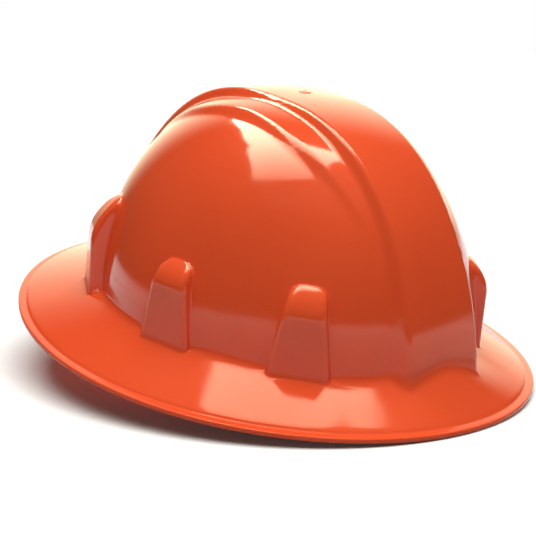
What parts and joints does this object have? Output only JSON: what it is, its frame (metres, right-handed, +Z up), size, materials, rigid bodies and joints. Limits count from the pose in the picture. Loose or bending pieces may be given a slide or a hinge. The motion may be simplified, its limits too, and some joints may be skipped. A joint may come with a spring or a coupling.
{
  "type": "full brim hard hat",
  "caption": "Orange full brim safety helmet with a stepped centre ridge and moulded key pockets, a webbing and headband suspension inside and a ratchet knob at the nape.",
  "frame": {"origin": "on the floor, under the middle of the shell's length, in the rest pose that the picture shows: front lip and nape ratchet on the floor", "axes": "+X towards the front of the hat, +Y to the wearer's left, +Z up"},
  "size_m": [0.3162, 0.266, 0.1599],
  "materials": {
    "shell": "glossy moulded polyethylene",
    "suspension_plastic": "satin moulded plastic",
    "webbing": "woven textile webbing",
    "acetal": "smooth moulded plastic",
    "knob_plastic": "fine textured plastic",
    "steel": "zinc plated",
    "pad_foam": "brushed cloth over foam"
  },
  "bodies": {
    "hat": {"shell": "shell", "key_front_left": "suspension_plastic", "key_front_right": "suspension_plastic", "key_middle_left": "suspension_plastic", "key_middle_right": "suspension_plastic", "key_rear_left": "suspension_plastic", "key_rear_right": "suspension_plastic", "crown_strap_front": "webbing", "crown_strap_middle": "webbing", "crown_strap_rear": "webbing", "headband": "suspension_plastic", "brow_pad": "pad_foam", "side_arm_left": "suspension_plastic", "side_arm_right": "suspension_plastic", "arm_studs": "acetal"},
    "nape": {"ratchet_housing": "suspension_plastic", "ratchet_cover": "suspension_plastic", "detent_ring": "acetal", "cover_screws": "steel", "nape_pad": "pad_foam"},
    "knob_body": {"knob": "knob_plastic", "pinion": "acetal", "knob_screw": "steel"},
    "rack_left_body": {"rack_left": "suspension_plastic"},
    "rack_right_body": {"rack_right": "suspension_plastic"}
  },
  "joints": [
    {"name": "nape_slide", "type": "slide", "parent": "hat", "child": "nape", "axis": [1, 0, 0], "range_m": [-0.00995, 0.01396], "deforming": ["side_arm_left", "side_arm_right"]},
    {"name": "knob_turn", "type": "hinge", "parent": "nape", "child": "knob_body", "pos_m": [-0.09572, 0, 0.01349], "axis": [0.9872, 0, -0.1595], "range_deg": [-114, 160]},
    {"name": "rack_left_slide", "type": "slide", "parent": "nape", "child": "rack_left_body", "axis": [0, -1, 0], "range_m": [-0.00995, 0.01396]},
    {"name": "rack_right_slide", "type": "slide", "parent": "nape", "child": "rack_right_body", "axis": [0, 1, 0], "range_m": [-0.00995, 0.01396]}
  ],
  "couplings": [
    {"joint": "knob_turn", "follows": "nape_slide", "rad_per_m": 200},
    {"joint": "rack_left_slide", "follows": "nape_slide", "ratio": 1},
    {"joint": "rack_right_slide", "follows": "nape_slide", "ratio": 1}
  ]
}
